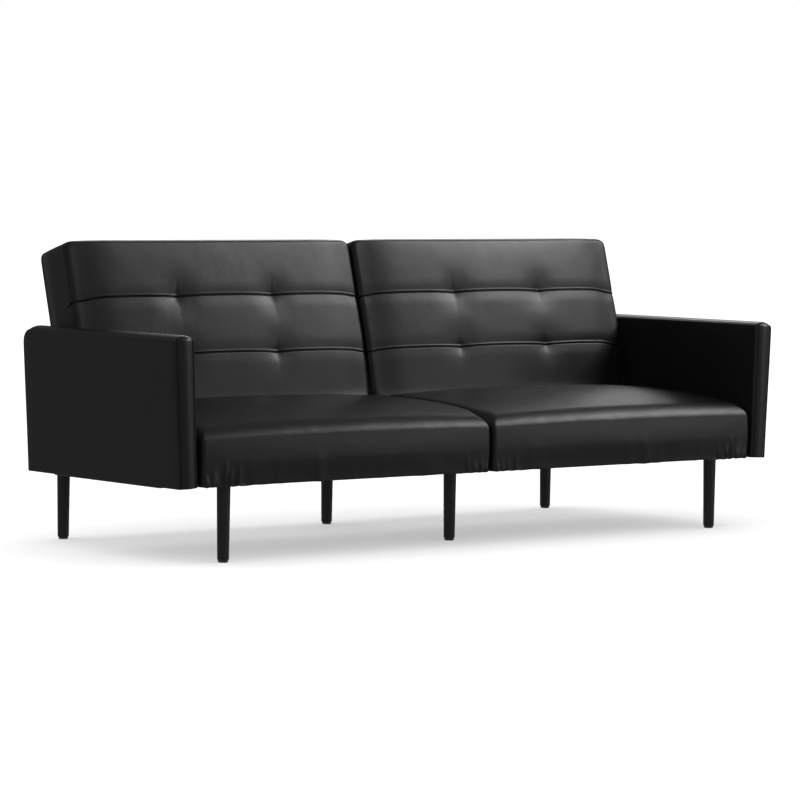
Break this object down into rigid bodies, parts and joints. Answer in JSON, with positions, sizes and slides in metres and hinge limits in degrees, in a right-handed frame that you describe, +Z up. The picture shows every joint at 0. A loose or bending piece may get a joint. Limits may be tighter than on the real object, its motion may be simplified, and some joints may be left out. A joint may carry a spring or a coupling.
{
  "type": "futon sofa bed",
  "caption": "Convertible sofa bed with a cushioned seat, split tufted back panels that hinge down flat, slim padded arms and tapered legs",
  "frame": {"origin": "on the floor, under the middle of the whole object", "axes": "+X to the right as seen from the front, +Y from the front towards the rear, +Z up"},
  "size_m": [1.9796, 0.752, 0.769],
  "materials": {
    "vinyl": "satin",
    "leg": "satin",
    "plastic": "matte",
    "steel": "satin",
    "wire": "satin",
    "wood": "matte",
    "foam": "matte",
    "lining": "matte"
  },
  "bodies": {
    "base": {"centre_bracket": "steel", "centre_hinge_pin": "steel", "glide_front_left": "plastic", "glide_front_right": "plastic", "glide_middle_front": "plastic", "glide_middle_rear": "plastic", "glide_rear_left": "plastic", "glide_rear_right": "plastic", "left_arm_board": "wood", "left_arm_bracket": "steel", "left_arm_cover": "vinyl", "left_centre_rail": "wood", "left_dust_cover": "lining", "left_end_rail": "wood", "left_front_rail": "wood", "left_hinge_pin": "steel", "left_outer_bracket": "steel", "left_seat_cover": "vinyl", "left_seat_foam": "foam", "left_seat_rear_rail": "wood", "left_seat_springs": "wire", "leg_front_left": "leg", "leg_front_right": "leg", "leg_middle_front": "leg", "leg_middle_rear": "leg", "leg_plate_front_left": "steel", "leg_plate_front_right": "steel", "leg_plate_middle_front": "steel", "leg_plate_middle_rear": "steel", "leg_plate_rear_left": "steel", "leg_plate_rear_right": "steel", "leg_rear_left": "leg", "leg_rear_right": "leg", "rear_cross_rail": "wood", "right_arm_board": "wood", "right_arm_bracket": "steel", "right_arm_cover": "vinyl", "right_centre_rail": "wood", "right_dust_cover": "lining", "right_end_rail": "wood", "right_front_rail": "wood", "right_hinge_pin": "steel", "right_outer_bracket": "steel", "right_seat_cover": "vinyl", "right_seat_foam": "foam", "right_seat_rear_rail": "wood", "right_seat_springs": "wire"},
    "left_back": {"left_back_board": "wood", "left_back_cover": "vinyl", "left_back_foam": "foam", "left_back_lining": "lining", "left_centre_leaf": "steel", "left_outer_leaf": "steel"},
    "right_back": {"right_back_board": "wood", "right_back_cover": "vinyl", "right_back_foam": "foam", "right_back_lining": "lining", "right_centre_leaf": "steel", "right_outer_leaf": "steel"}
  },
  "joints": [
    {"name": "left_back_recline", "type": "hinge", "parent": "base", "child": "left_back", "pos_m": [0, 0.14, 0.325], "axis": [-1, 0, 0], "range_deg": [-10, 74.42]},
    {"name": "right_back_recline", "type": "hinge", "parent": "base", "child": "right_back", "pos_m": [0, 0.14, 0.325], "axis": [-1, 0, 0], "range_deg": [-10, 74.42]}
  ]
}
